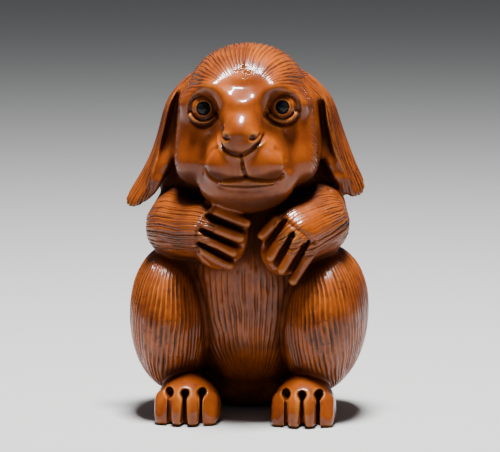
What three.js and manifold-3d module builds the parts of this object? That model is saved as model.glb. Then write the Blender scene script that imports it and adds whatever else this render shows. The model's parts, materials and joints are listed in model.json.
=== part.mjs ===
// A carved boxwood netsuke: a lop-eared puppy that sits up and holds its paws together under its chin.
// The figure is one piece of wood. A cord passage is drilled into its back, and each eye is a bead let in.
// Millimetres, +Z up. The face looks towards -Y, and left and right are the puppy's own: right is at -X.
import * as THREE from "three";
import { mergeVertices } from "three/addons/utils/BufferGeometryUtils.js";
import Module from "manifold-3d";

const wasm = await Module();
wasm.setup();

// ---- Driving sizes -------------------------------------------------------------------------------

const height = 50; // table to crown
const haunchSpan = 32.4; // across both haunches
const halfSpan = haunchSpan / 2;
const sides = { right: -1, left: 1 };

const trunk = { at: [0, 2.2, 18.8], radii: [11.2, 9.6, 15.7], fullness: 2.3 };
const nape = { at: [0, 2.8, 31.6], radii: [11.4, 6.2, 5], fullness: 2.5 };
const rump = { at: [0, 5.6, 5.4], radii: [9.2, 7.2, 6.4] };
const haunches = {
  right: { radii: [5.6, 10.4, 9.9], y: -1.4, z: 12.8, lean: 3 },
  left: { radii: [5.9, 10.4, 10], y: -1.6, z: 12.9, lean: 7 },
};
const foot = { radii: [4.5, 6, 4.8], y: -8.7, z: 1.6, x: { right: -7.5, left: 8 } };
const sole = { z: 2.4, heel: 2, radii: [3.4, 2.8] };
const toe = { count: 4, front: -14.2, radius: 1.15, top: 4.3, bend: 0.9, slope: 1.3, spread: 0.35 };
const toeSlot = { width: 0.7, deep: 1.5, hole: 0.55 };
// A short tail that curls round the rump to the puppy's left.
const tail = [
  { at: [-1, 11.4, 4.6], radius: 2 },
  { at: [3.6, 10.8, 3.6], radius: 2 },
  { at: [7.6, 8.6, 4], radius: 1.8 },
  { at: [10.6, 6.2, 6.4], radius: 1.3 },
];

const arms = {
  right: {
    joints: [[-8.9, 1.2, 27], [-9.6, -4, 25.4], [-5, -8, 25.5]], // shoulder, elbow and wrist
    radii: [4.3, 4.3, 3.8],
  },
  left: {
    joints: [[8.9, 0.6, 27.6], [9.4, -4.4, 26], [6.8, -8, 25]],
    radii: [4.2, 4.5, 4],
  },
};
const finger = { knuckle: 0.95, tip: 0.85, slot: 0.7, deep: 2.4 };

const crown = 10.7; // from the middle of the skull up to the top of the head
const skull = { at: [-0.1, -1.2, height - crown], radii: [8.8, 9.4, crown], fullness: 2.35 };
const headTilt = [0, -1.5, 0];
const eye = { x: 5.2, z: 2.6, socket: [2.3, 1.5, 2.3], ball: 1.65, sunk: 0.3 };
const bead = { radius: 0.85, deep: 1.2, proud: 0.3, dome: 0.45, gap: 0.3 };
const nose = { at: [0, -11.6, -1.4], radii: [2.6, 1.9, 2] };
const nostril = { x: 1.3, z: -0.9, radius: 0.5, deep: 0.9 };
const muzzle = { at: [0.3, -8.3, -4.6], radii: [5.6, 4.7, 4.3], fullness: 2.4 };
const bridge = { at: [0, -9.4, 1.4], radii: [2.9, 2.4, 4.8], turn: [-24, 0, 0] };
const jaw = { at: [0.2, -7.2, -7.6], radii: [6.4, 4.4, 3.9] };
const lips = [
  { at: [-2.3, -11.3, -4.6], radii: [2.7, 1.9, 2.2] },
  { at: [2.9, -11.3, -4.5], radii: [2.8, 1.9, 2.2] },
];
const mouth = { x: 0.5, z: -6.6, width: 9.6, dip: 0.3, lift: 1.2, line: 0.32 };
const ear = {
  spine: [[6.4, 0.4, 7.2], [9.4, 0.8, 3.2], [10.7, 1, -1.6], [12, 1.2, -5.6], [14.4, 1.2, -10.2]],
  flare: { right: 2.5, left: 0.4 },
  droop: { right: 1.1, left: 0.2 },
  width: 8.6,
  thick: 2.2,
  turn: 28,
  cup: 0.045,
  slant: 0.25,
};

const knotHole = { z: 21.5, radius: 3.1, bottom: 5.5 };
const cordHole = { from: [0, 6.5, 20.5], to: [0, 16, 10.5], radius: 1.7 };
const outside = 16; // well behind the back

// ---- Making and joining solids -------------------------------------------------------------------

// A closed geometry as a solid that can be joined and cut.
function solid(geometry) {
  const bare = geometry.clone();
  bare.deleteAttribute("normal");
  bare.deleteAttribute("uv");
  const merged = mergeVertices(bare, 1e-4);
  return new wasm.Manifold(
    new wasm.Mesh({
      numProp: 3,
      vertProperties: merged.attributes.position.array,
      triVerts: Uint32Array.from(merged.index.array),
    }),
  );
}

function geometryOf(body) {
  const mesh = body.getMesh();
  return new THREE.BufferGeometry()
    .setAttribute("position", new THREE.BufferAttribute(mesh.vertProperties, 3))
    .setIndex(new THREE.BufferAttribute(mesh.triVerts, 1));
}

const join = (bodies) => bodies.reduce((whole, body) => whole.add(body));
const cut = (body, tools) => tools.reduce((rest, tool) => rest.subtract(tool), body);

// Moves every vertex of a geometry by a rule.
function warp(geometry, rule) {
  const places = geometry.attributes.position;
  const v = new THREE.Vector3();
  for (let i = 0; i < places.count; i++) {
    rule(v.fromBufferAttribute(places, i));
    places.setXYZ(i, v.x, v.y, v.z);
  }
  return geometry;
}

// Turns a geometry by degrees about X, Y and Z, then moves it into place.
function place(geometry, at, turn = [0, 0, 0]) {
  const angles = new THREE.Euler(...turn.map(THREE.MathUtils.degToRad), "XYZ");
  return geometry
    .applyQuaternion(new THREE.Quaternion().setFromEuler(angles))
    .translate(...at);
}

// A ball drawn out to three radii. A fullness above 2 fills it out towards a box, and a lead above 0 crowds
// its facets towards -Y.
function ball(radii, detail, fullness = 2, lead = 0) {
  const round = warp(new THREE.IcosahedronGeometry(1, detail), (v) => {
    v.y -= lead;
    v.normalize();
    const reach = [v.x, v.y, v.z].reduce((sum, part) => sum + Math.abs(part) ** fullness, 0);
    v.multiplyScalar(reach ** (-1 / fullness));
  });
  return round.scale(...radii);
}

// A carver's push: the clay within reach of a point moves, most at the point itself.
function push(geometry, pushes) {
  return warp(geometry, (v) => {
    const start = v.clone();
    for (const { at, reach, by } of pushes) {
      const [dx, dy, dz] = [0, 1, 2].map((k) => (start.getComponent(k) - at[k]) / reach[k]);
      const share = Math.exp(-(dx * dx + dy * dy + dz * dz));
      v.addScaledVector(new THREE.Vector3(...by), share);
    }
  });
}

// A round limb that narrows from one radius to another, with ball ends.
function limb(from, to, fromRadius, toRadius, around = 12, rings = 3) {
  const a = new THREE.Vector3(...from);
  const b = new THREE.Vector3(...to);
  const length = a.distanceTo(b);
  const slope = Math.asin((fromRadius - toRadius) / length);
  const profile = [];
  const arc = (centre, radius, start, end) => {
    for (let i = 0; i <= rings; i++) {
      const angle = start + ((end - start) * i) / rings;
      profile.push(new THREE.Vector2(radius * Math.cos(angle), centre + radius * Math.sin(angle)));
    }
  };
  arc(0, fromRadius, -Math.PI / 2, slope);
  arc(length, toRadius, slope, Math.PI / 2);
  profile[0].x = 0;
  profile[profile.length - 1].x = 0;
  const along = b.clone().sub(a).normalize();
  return new THREE.LatheGeometry(profile, around)
    .applyQuaternion(new THREE.Quaternion().setFromUnitVectors(new THREE.Vector3(0, 1, 0), along))
    .translate(...from);
}

// A gouge line: a thin round cutter swept along a smooth curve through some points.
function gouge(points, radius, steps) {
  const path = new THREE.CatmullRomCurve3(points.map((p) => new THREE.Vector3(...p)));
  const section = new THREE.Shape().absarc(0, 0, radius, 0, 2 * Math.PI);
  const sweep = { steps, curveSegments: 4, extrudePath: path, bevelEnabled: false };
  return new THREE.ExtrudeGeometry(section, sweep);
}

// A round drilled hole from one point to another.
function drilled(from, to, radius, around = 12) {
  const a = new THREE.Vector3(...from);
  const b = new THREE.Vector3(...to);
  return new THREE.CylinderGeometry(radius, radius, a.distanceTo(b), around)
    .applyQuaternion(
      new THREE.Quaternion().setFromUnitVectors(new THREE.Vector3(0, 1, 0), b.clone().sub(a).normalize()),
    )
    .translate(...a.add(b).multiplyScalar(0.5));
}

// ---- Body ----------------------------------------------------------------------------------------

const trunkPushes = [
  { at: [0, 11, 12], reach: [8, 6, 9], by: [0, 1, 0] }, // small of the back
  { at: [11, 2, 26], reach: [5, 7, 6], by: [1, 0, 0.2] }, // shoulders
  { at: [-11, 2, 26], reach: [5, 7, 6], by: [-1, 0, 0.2] },
];

function makeBody() {
  const block = push(place(ball(trunk.radii, 5, trunk.fullness), trunk.at), trunkPushes);
  const legs = Object.entries(haunches).map(([name, { radii, y, z, lean }]) => {
    const x = sides[name] * (halfSpan - radii[0]);
    return solid(place(ball(radii, 4), [x, y, z], [0, sides[name] * lean, 0]));
  });
  const neck = place(ball(nape.radii, 3, nape.fullness), nape.at);
  const seat = place(ball(rump.radii, 3), rump.at);
  return join([solid(block), solid(neck), solid(seat), ...legs]);
}

function makeTail() {
  const joints = tail.slice(1).map((next, i) => limb(tail[i].at, next.at, tail[i].radius, next.radius, 8, 2));
  return join(joints.map(solid));
}

// The passage for the cord: a wide hole that takes its knot, met inside by a narrow one that slants up to it.
function cordPassage() {
  const wide = drilled([0, knotHole.bottom, knotHole.z], [0, outside, knotHole.z], knotHole.radius, 16);
  return [solid(wide), solid(drilled(cordHole.from, cordHole.to, cordHole.radius, 12))];
}

// A foot: a domed pad whose front is cut into four toes by slots that start at drilled holes.
function makeFoot(name) {
  const middle = foot.x[name];
  const dome = place(ball(foot.radii, 3), [middle, foot.y, foot.z]);
  const heel = limb([middle, foot.y, sole.z], [middle, sole.heel, sole.z], ...sole.radii);
  const pitch = (2 * foot.radii[0] - 0.5) / toe.count;
  const toes = [];
  const slots = [];
  for (let i = 0; i < toe.count; i++) {
    const offset = i - (toe.count - 1) / 2;
    const x = middle + offset * pitch;
    const y = toe.front + toe.radius + toe.spread * offset * offset;
    toes.push(limb([x, y + toe.slope, toe.top - 1], [x, y, toe.bend], toe.radius, toe.radius, 9, 2));
    if (i > 0) slots.push(...toeSlotAt(x - pitch / 2, y + toeSlot.deep));
  }
  return cut(join([dome, heel, ...toes].map(solid)), slots.map(solid));
}

// The cutters for one slot between two toes: a saw cut up from below, and the hole that it ends at.
function toeSlotAt(x, back) {
  const tall = toe.top + 2;
  const long = back - toe.front + 1;
  return [
    new THREE.BoxGeometry(toeSlot.width, long, tall).translate(x, back - long / 2, toe.top - tall / 2),
    drilled([x, back + 0.3, toe.top], [x, toe.front - 1, toe.top], toeSlot.hole, 8),
  ];
}

// ---- Arms and paws -------------------------------------------------------------------------------

// Each paw is a rounded block with fingers raised on it, from knuckle to tip, and slots between them.
const paws = {
  right: {
    palm: { at: [-3.1, -8.9, 24.6], radii: [3.8, 2.6, 4.4], turn: [0, 22, 0] },
    fingers: [
      [[-3.7, -10.1, 28.3], [0.4, -10.5, 26.8]],
      [[-4.6, -10.6, 26.5], [-0.4, -11.1, 24.9]],
      [[-5.3, -10.5, 24.7], [-1.4, -11.1, 22.9]],
      [[-5.4, -9.9, 22.8], [-1.9, -10.4, 21.1]],
    ],
  },
  left: {
    palm: { at: [5.7, -8.7, 23.6], radii: [3.6, 2.5, 4.3], turn: [0, 28, 0] },
    fingers: [
      [[4.6, -9.9, 27.2], [2.5, -10.3, 25.2]],
      [[5.7, -10.5, 26], [3.7, -11.2, 22.4]],
      [[7.5, -10.5, 24.8], [5.2, -11.2, 20.7]],
      [[9, -9.7, 23.2], [6.7, -10.5, 19.2]],
    ],
  },
};

// The slot between two neighbouring fingers lies halfway between them.
function slotBetween(first, second) {
  const [knuckle, tip] = [0, 1].map((end) =>
    new THREE.Vector3(...first[end]).lerp(new THREE.Vector3(...second[end]), 0.5),
  );
  const along = new THREE.Matrix4().lookAt(knuckle, tip, new THREE.Vector3(0, -1, 0));
  const length = knuckle.distanceTo(tip) + 2 * finger.tip;
  return new THREE.BoxGeometry(finger.slot, finger.deep, length)
    .applyMatrix4(along)
    .translate(...knuckle.lerp(tip, 0.5));
}

function makeArm(name) {
  const { joints: [shoulder, elbow, wrist], radii } = arms[name];
  const { palm, fingers } = paws[name];
  const arm = join([
    solid(limb(shoulder, elbow, radii[0], radii[1])),
    solid(limb(elbow, wrist, radii[1], radii[2])),
    solid(place(ball(palm.radii, 2), palm.at, palm.turn)),
    ...fingers.map(([knuckle, tip]) => solid(limb(knuckle, tip, finger.knuckle, finger.tip, 8, 2))),
  ]);
  return cut(arm, fingers.slice(1).map((next, i) => solid(slotBetween(fingers[i], next))));
}

// ---- Head, in its own frame with the origin at the skull's middle --------------------------------

const mirrored = ({ at, reach, by }) => ({ at: [-at[0], at[1], at[2]], reach, by: [-by[0], by[1], by[2]] });
const sidePushes = [
  { at: [4.3, -7.6, 5.9], reach: [2.8, 4, 1.9], by: [0.1, -1.2, 0.3] }, // brow
  { at: [5.4, -8.5, 2], reach: [2.4, 4, 2.8], by: [0, 0.6, 0] }, // hollow of the eye
  { at: [7.2, -5, -5.5], reach: [3.6, 5, 4], by: [1.3, -1.3, -0.6] }, // cheek
];
const facePushes = [...sidePushes, ...sidePushes.map(mirrored)];

// How far forward a body's front lies at a place on it.
function frontOf(body, x, z) {
  const mesh = new THREE.Mesh(geometryOf(body), new THREE.MeshBasicMaterial());
  const ray = new THREE.Raycaster(new THREE.Vector3(x, -100, z), new THREE.Vector3(0, 1, 0));
  return ray.intersectObject(mesh)[0].point.y;
}

function noseGeometry() {
  const pad = warp(ball(nose.radii, 3), (v) => {
    v.x *= 0.86 + 0.16 * v.z; // broad across the nostrils, narrow where it meets the lip
  });
  return place(pad, nose.at);
}

// A thin cut along the face through some places on it, each given as x and z.
function faceCut(front, line) {
  return solid(gouge(line.map(([x, z]) => front(x, z)), mouth.line, 6));
}

// The head without its ears, and where the front of each eye lies.
function makeHead() {
  const forms = [
    push(ball(skull.radii, 6, skull.fullness, 0.4), facePushes),
    place(ball(muzzle.radii, 3, muzzle.fullness), muzzle.at),
    place(ball(bridge.radii, 2), bridge.at, bridge.turn),
    place(ball(jaw.radii, 3), jaw.at),
    ...lips.map((lip) => place(ball(lip.radii, 2), lip.at)),
    noseGeometry(),
  ];
  const skin = join(forms.map(solid));
  const front = (x, z) => [x, frontOf(skin, x, z), z];
  const eyes = [-1, 1].map((side) => front(side * eye.x, eye.z));
  const sockets = eyes.map((at) => solid(place(ball(eye.socket, 2), at)));
  const balls = eyes.map(([x, y, z]) =>
    solid(place(ball([eye.ball, eye.ball, eye.ball], 2), [x, y + eye.ball + eye.sunk, z])),
  );
  const seats = eyes.map(([x, y, z]) => {
    const bottom = y + eye.sunk + bead.deep + bead.gap;
    return solid(drilled([x, y - 2, z], [x, bottom, z], bead.radius + bead.gap, 12));
  });
  const nostrils = [-1, 1].map((side) => {
    const [x, y, z] = front(side * nostril.x, nostril.z);
    return solid(drilled([x, y - 1, z], [x, y + nostril.deep, z], nostril.radius, 8));
  });
  const philtrum = faceCut(front, [[0, -3.2], [mouth.x / 2, -4.8], [mouth.x, mouth.z]]);
  const smile = [-1, -0.5, 0, 0.5, 1].map((share) => {
    const rise = Math.abs(share) === 1 ? mouth.lift : -mouth.dip * 2 * Math.abs(share);
    return [mouth.x + (share * mouth.width) / 2, mouth.z + rise];
  });
  const face = join([cut(skin, sockets), ...balls]);
  return { face: cut(face, [...seats, ...nostrils, philtrum, faceCut(front, smile)]), eyes };
}

// An ear: a leaf that hangs along its spine, cupped towards the head, and broad and blunt at its end.
function makeEar(name) {
  const side = sides[name];
  const spine = new THREE.CatmullRomCurve3(ear.spine.map(([x, y, z]) => new THREE.Vector3(side * x, y, z)));
  const turn = THREE.MathUtils.degToRad(-side * ear.turn);
  const up = new THREE.Vector3(0, 0, 1);
  const leaf = warp(ball([1, 1, 1], 4, 2.6), (v) => {
    const drop = (1 - v.z) / 2; // 0 at the root, 1 at the tip
    const y = (v.y * ear.width * (0.55 + 0.45 * drop)) / 2;
    const x = (v.x * ear.thick * (1.5 - 0.5 * drop)) / 2 - side * ear.cup * y * y;
    v.set(x, y, ear.slant * y * drop).applyAxisAngle(up, turn).add(spine.getPoint(drop));
    v.x += side * ear.flare[name] * drop ** 4;
    v.z -= ear.droop[name] * drop ** 2;
  });
  return solid(leaf);
}

// ---- Eyes ----------------------------------------------------------------------------------------

// A bead: a short round plug with a domed front, which faces -Y from the middle of its base.
function makeBead() {
  const profile = [new THREE.Vector2(0, 0), new THREE.Vector2(bead.radius, 0)];
  const shoulder = bead.deep + bead.proud - bead.dome;
  const steps = 4;
  for (let i = 0; i <= steps; i++) {
    const angle = (i / steps) * (Math.PI / 2);
    profile.push(new THREE.Vector2(bead.radius * Math.cos(angle), shoulder + bead.dome * Math.sin(angle)));
  }
  profile[profile.length - 1].x = 0;
  return new THREE.LatheGeometry(profile, 12).rotateX(Math.PI);
}

// ---- The whole figure ----------------------------------------------------------------------------

const { face, eyes } = makeHead();

function makeFigure() {
  const head = join([face, makeEar("right"), makeEar("left")]);
  const ground = new THREE.BoxGeometry(100, 100, 20).translate(0, 0, -10);
  const whole = join([
    makeBody(),
    makeTail(),
    makeFoot("right"),
    makeFoot("left"),
    makeArm("right"),
    makeArm("left"),
    solid(place(geometryOf(head), skull.at, headTilt)),
  ]);
  return cut(whole, [solid(ground), ...cordPassage()]);
}

const wood = new THREE.MeshStandardMaterial({ color: 0xa8521c, roughness: 0.32, metalness: 0 });
const horn = new THREE.MeshStandardMaterial({ color: 0x0c0b0d, roughness: 0.08, metalness: 0 });

const netsuke = new THREE.Group();
const figure = new THREE.Mesh(geometryOf(makeFigure()), wood);
figure.name = "figure";
netsuke.add(figure);

const headFrame = new THREE.Group();
headFrame.position.set(...skull.at);
headFrame.rotation.set(...headTilt.map(THREE.MathUtils.degToRad));
netsuke.add(headFrame);
["right_eye_bead", "left_eye_bead"].forEach((name, i) => {
  const mesh = new THREE.Mesh(makeBead(), horn);
  mesh.name = name;
  const [x, y, z] = eyes[i];
  mesh.position.set(x, y + eye.sunk + bead.deep, z);
  headFrame.add(mesh);
});

// The origin lies on the table, under the middle of the figure.
const box = new THREE.Box3().setFromObject(netsuke);
netsuke.position.set(-(box.min.x + box.max.x) / 2, -(box.min.y + box.max.y) / 2, -box.min.z);

export default netsuke;
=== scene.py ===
import itertools
import json
import math

import bmesh
import bpy
import numpy as np
from mathutils import Matrix, Vector
from mathutils.bvhtree import BVHTree
from mathutils.kdtree import KDTree


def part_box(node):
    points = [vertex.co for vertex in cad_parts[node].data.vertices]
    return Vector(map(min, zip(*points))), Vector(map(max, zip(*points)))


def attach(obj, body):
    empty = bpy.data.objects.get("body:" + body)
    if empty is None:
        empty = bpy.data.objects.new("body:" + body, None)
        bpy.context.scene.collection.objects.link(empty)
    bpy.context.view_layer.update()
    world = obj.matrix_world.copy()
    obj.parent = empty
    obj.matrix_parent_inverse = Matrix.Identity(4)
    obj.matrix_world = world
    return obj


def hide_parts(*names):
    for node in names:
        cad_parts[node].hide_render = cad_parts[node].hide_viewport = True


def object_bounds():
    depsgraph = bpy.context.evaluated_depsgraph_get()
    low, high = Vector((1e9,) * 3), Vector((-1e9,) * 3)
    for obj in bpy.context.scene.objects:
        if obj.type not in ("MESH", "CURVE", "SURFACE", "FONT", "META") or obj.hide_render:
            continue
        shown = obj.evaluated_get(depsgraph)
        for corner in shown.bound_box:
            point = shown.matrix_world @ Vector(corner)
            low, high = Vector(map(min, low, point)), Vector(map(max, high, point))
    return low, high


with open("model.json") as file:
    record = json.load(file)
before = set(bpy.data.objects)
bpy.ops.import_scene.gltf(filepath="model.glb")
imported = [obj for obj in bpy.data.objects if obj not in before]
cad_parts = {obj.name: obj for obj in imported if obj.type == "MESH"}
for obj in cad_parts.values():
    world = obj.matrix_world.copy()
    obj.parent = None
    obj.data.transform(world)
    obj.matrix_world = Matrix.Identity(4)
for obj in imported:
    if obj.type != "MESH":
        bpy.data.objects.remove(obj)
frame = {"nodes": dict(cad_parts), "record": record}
cad_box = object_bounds()

# ---- The figure's measure ------------------------------------------------------------------------------------------
# Shapes are worked out in the figure's own millimetre, a fiftieth of its height, and finished in metres.
# Right and left are the puppy's own, so its right side is at -X, and it looks towards -Y.

MM = (cad_box[1][2] - cad_box[0][2]) / 50


def middle(node):
    """The middle of a CAD node's box, in figure millimetres."""
    low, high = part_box(node)
    return (np.array(low) + np.array(high)) / 2 / MM


def front(node):
    """How far forward a CAD node reaches, in figure millimetres."""
    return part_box(node)[0][1] / MM


BASE = np.array(frame["record"]["mounts"][0]["pos_m"]) / MM
STAND = BASE - (0, 5.62, 0)  # on the table, under the middle of the trunk
SIDES = {"right": -1, "left": 1}
EYES = {side: middle(f"{side}_eye_bead") for side in SIDES}
FACE = (EYES["right"] + EYES["left"]) / 2  # between the eyes
SKULL = STAND + (-0.1, -1.2, 39.3)
SKULL_RADII = np.array((8.8, 9.4, 10.7))

ROUGH_VOXEL = 0.18  # the net for the large carving
FINE_VOXEL = 0.145  # the net for the face, the paws and the fur
PIECE_TRIANGLES = 196000

# From one strand of fur to the next.
BODY_STRAND = 0.8
LEG_STRAND = 0.78
ARM_STRAND = 0.7

# Where each kind of surface lies: middles and radii are from the stand.
TRUNK = {"at": (0, 2.2, 18.8), "radii": (11.2, 9.6, 15.7), "pole": (0.02, -0.1, -1), "pitch": BODY_STRAND}
HAUNCHES = {
    "right": {"at": (-10.6, -1.4, 12.8), "radii": (5.6, 10.4, 9.9), "pole": (0.07, -0.05, 1), "pitch": LEG_STRAND},
    "left": {"at": (10.3, -1.6, 12.9), "radii": (5.9, 10.4, 10), "pole": (-0.12, -0.05, 1), "pitch": LEG_STRAND},
}
ARMS = {
    "right": {"joints": ((-8.9, 1.2, 27), (-9.6, -4, 25.4), (-5, -8, 25.5)), "radius": 4.2, "lie": (0.8, -0.6, 0)},
    "left": {"joints": ((8.9, 0.6, 27.6), (9.4, -4.4, 26), (6.8, -8, 25)), "radius": 4.3, "lie": (-0.75, -0.6, -0.3)},
}
PALMS = {
    "right": {"at": (-3.1, -8.9, 24.6), "radii": (3.8, 2.6, 4.4)},
    "left": {"at": (5.7, -8.7, 23.6), "radii": (3.6, 2.5, 4.3)},
}
FEET = {
    "right": {"at": (-7.5, -8.7, 1.6), "radii": (4.5, 6, 4.8)},
    "left": {"at": (8, -8.7, 1.6), "radii": (4.5, 6, 4.8)},
}
ARM_ROUND = 4.3  # the mean radius of a furred forearm
TAIL_RADIUS = 1.9
TAIL = ((-1, 11.4, 4.6), (3.6, 10.8, 3.6), (7.6, 8.6, 4), (10.6, 6.2, 6.4))
EAR_SPINE = ((6.4, 0.4, 7.2), (9.4, 0.8, 3.2), (10.7, 1, -1.6), (12, 1.2, -5.6), (14.4, 1.2, -11))  # from SKULL
EAR_TURN = math.radians(28)
EAR_HALF_WIDTH = 4.2
EAR_HALF_THICK = 1.6
WHORL = (0, -0.93, 0.37)  # from SKULL, the way to the spot where the hair of the head starts
HAIRLINE = 7.2  # its height over SKULL, in the middle
HEAD_PROUD = 0.4  # how far the head's surface stands out from its egg
PALM_PROUD = 0.6
FOOT_PROUD = 0.5


# ---- Small rules ---------------------------------------------------------------------------------------------------


def smoothstep(low, high, values):
    """From 0 at low to 1 at high, with soft ends."""
    share = np.clip((values - low) / (high - low), 0, 1)
    return share * share * (3 - 2 * share)


def bump(distance, width):
    """A soft mound: 1 in its middle, and nearly 0 from two widths on."""
    return np.exp(-((distance / width) ** 2))


def value_noise(points, seed=0):
    """Smooth noise from 0 to 1, one lattice cell to a unit."""
    cell = np.floor(points).astype(np.int64)
    part = points - cell
    part = part * part * (3 - 2 * part)
    total = np.zeros(len(points))
    for corner in itertools.product((0, 1), repeat=3):
        key = (cell + corner) @ np.array((73856093, 19349663, 83492791)) + seed * 1013904223
        key = (key ^ (key >> 13)) * 1274126177 & 0x7FFFFFFF
        key = (key ^ (key >> 15)) * 668265263 & 0x7FFFFFFF
        weight = np.prod(np.where(corner, part, 1 - part), axis=1)
        total += weight * ((key >> 8) & 0xFFFF) / 0xFFFF
    return total


def segment_distance(points, start, end):
    """The distance of each point to a straight stretch, and its share of the way along it."""
    start = np.array(start, dtype=float)
    way = np.array(end, dtype=float) - start
    share = np.clip((points - start) @ way / (way @ way), 0, 1)
    return np.linalg.norm(points - start - share[:, None] * way, axis=1), share


def smooth_line(places, closed=False, steps=5):
    """A curve that runs evenly through some places, as short straight stretches."""
    places = np.array(places, dtype=float)
    before, after = (places[-1:], places[:2]) if closed else (places[:1], places[-1:])
    knots = np.concatenate((before, places, after))
    parts = []
    for a, b, c, d in zip(knots, knots[1:], knots[2:], knots[3:]):
        for t in np.arange(steps) / steps:
            bend = (2 * a - 5 * b + 4 * c - d) * t**2 + (3 * b - a - 3 * c + d) * t**3
            parts.append(b + 0.5 * ((c - a) * t + bend))
    return np.array(parts + [places[0] if closed else places[-1]])


def mound(x, z, at, radii):
    """A soft mound round a place as seen from the front, told by its half widths across and up."""
    return bump(np.hypot((x - at[0]) / radii[0], (z - at[1]) / radii[1]), 1)


def line_distance(points, line):
    """The distance of each point to a line of straight stretches."""
    return np.min([segment_distance(points, a, b)[0] for a, b in zip(line, line[1:])], axis=0)


def egg_distance(points, at, radii):
    """About how far each point lies outside an egg-shaped form."""
    reach = np.linalg.norm((points - STAND - at) / np.array(radii), axis=1)
    return (reach - 1) * min(radii)


# ---- Surfaces as arrays --------------------------------------------------------------------------------------------


class Surface:
    """A mesh's points in figure millimetres, with who neighbours whom."""

    def __init__(self, mesh):
        self.mesh = mesh
        count = len(mesh.vertices)
        flat = np.empty(count * 3, dtype=np.float32)
        mesh.vertices.foreach_get("co", flat)
        self.points = flat.reshape(-1, 3).astype(np.float64)
        pairs = np.empty(len(mesh.edges) * 2, dtype=np.int32)
        mesh.edges.foreach_get("vertices", pairs)
        pairs = pairs.reshape(-1, 2)
        ends = np.concatenate((pairs[:, 0], pairs[:, 1]))
        others = np.concatenate((pairs[:, 1], pairs[:, 0]))
        order = np.argsort(ends, kind="stable")
        self.others = others[order]
        self.starts = np.searchsorted(ends[order], np.arange(count))
        self.degree = np.bincount(ends, minlength=count).astype(np.float64)

    def neighbour_mean(self, values):
        """The mean of each point's neighbours."""
        total = np.add.reduceat(values[self.others], self.starts, axis=0)
        return (total.T / self.degree).T

    def smoothed(self, values, rounds, share=0.5):
        """The values, each drawn towards its neighbours' mean some rounds over."""
        for _ in range(rounds):
            values = values + share * (self.neighbour_mean(values) - values)
        return values

    def settle(self):
        """Writes the points back to the mesh."""
        self.mesh.vertices.foreach_set("co", self.points.astype(np.float32).ravel())
        self.mesh.update()

    def normals(self):
        """Which way each point faces."""
        self.settle()
        flat = np.empty(len(self.points) * 3, dtype=np.float32)
        self.mesh.vertex_normals.foreach_get("vector", flat)
        return flat.reshape(-1, 3).astype(np.float64)

    def push(self, height):
        """Moves each point along its normal, outwards where the height is above 0."""
        self.points += self.normals() * height[:, None]


# ---- The block: the CAD solid, remeshed finely and rid of its facets ------------------------------------------------

EYE_MOUND = (2.75, 1.9, 2.75)
EYE_MOUND_BEHIND = 1.75  # from the front of the bead to the mound's middle
NAPE_FILL = {"at": (9.3, 3, 31.2), "radii": (3.6, 4.2, 3.4)}
CREASE = math.radians(22)
MELT_LEAST, MELT_MOST = 0.1, 1.6  # how far facets may run into each other


def add_egg(form, at, radii):
    """Adds an egg-shaped lump, which the remesh then joins to the rest."""
    place = Matrix.Translation(at) @ Matrix.Diagonal((*radii, 1))
    bmesh.ops.create_icosphere(form, subdivisions=3, radius=1, matrix=place)


def solid_copy(node):
    """One of the solid's forms, in figure millimetres."""
    form = bmesh.new()
    form.from_mesh(frame["nodes"][node].data)
    bmesh.ops.remove_doubles(form, verts=form.verts, dist=1e-6)
    bmesh.ops.scale(form, vec=(1 / MM, 1 / MM, 1 / MM), verts=form.verts)
    return form


def add_eye_mounds(form):
    """Fills the plain sockets, so that the lids can be carved afresh."""
    for side, eye in EYES.items():
        add_egg(form, (eye[0], front(f"{side}_eye_bead") + EYE_MOUND_BEHIND, eye[2]), EYE_MOUND)


def add_nape_fill(form):
    """Fills the gap between each shoulder and the ear that hangs over it."""
    for side in SIDES.values():
        add_egg(form, STAND + NAPE_FILL["at"] * np.array((side, 1, 1)), NAPE_FILL["radii"])


def remeshed(mesh, voxel):
    """The same form as an even net of small squares."""
    block = bpy.data.objects.new("block", mesh)
    bpy.context.scene.collection.objects.link(block)
    remesh = block.modifiers.new("voxels", "REMESH")
    remesh.mode = "VOXEL"
    remesh.voxel_size = voxel
    result = bpy.data.meshes.new_from_object(block.evaluated_get(bpy.context.evaluated_depsgraph_get()))
    bpy.data.objects.remove(block)
    return result


def crease_points(form, step=0.3):
    """Points along the sharp inner corners of the solid, where two carved forms meet."""
    found = []
    for edge in form.edges:
        if len(edge.link_faces) != 2 or edge.calc_face_angle_signed(0) > -CREASE:
            continue
        a, b = (v.co for v in edge.verts)
        parts = max(1, int((b - a).length / step))
        found += [a.lerp(b, i / parts) for i in range(parts + 1)]
    return found


def nearest(places, points):
    """For each point, which of some places is nearest, and how far off it is."""
    tree = KDTree(len(places))
    for i, place in enumerate(places):
        tree.insert(place, i)
    tree.balance()
    hits = [tree.find(p) for p in points]
    return np.array([h[1] for h in hits]), np.array([h[2] for h in hits])


def facet_size(form, points):
    """How wide the solid's facet is that lies closest to each point."""
    tree = BVHTree.FromBMesh(form)
    sizes = np.array([math.sqrt(2 * face.calc_area()) for face in form.faces])
    return sizes[[tree.find_nearest(p)[2] for p in points]]


def melt_of_face(points):
    """How far the face's forms run into each other, in mm: much on the brow, less on the nose and the lips."""
    x, y, z = (points - FACE).T
    inside = smoothstep(9.5, 7.5, np.abs(x)) * smoothstep(-12, -10, z) * smoothstep(8, 6, z)
    inside *= smoothstep(4, 2.5, y)
    lips = bump(np.hypot(x / 6, (z + 6.5) / 3), 1)
    forehead = bump(np.hypot(x / 4.5, (z - 3.5) / 3), 1)
    return inside * (0.95 + 0.6 * forehead - 0.4 * lips)


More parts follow.
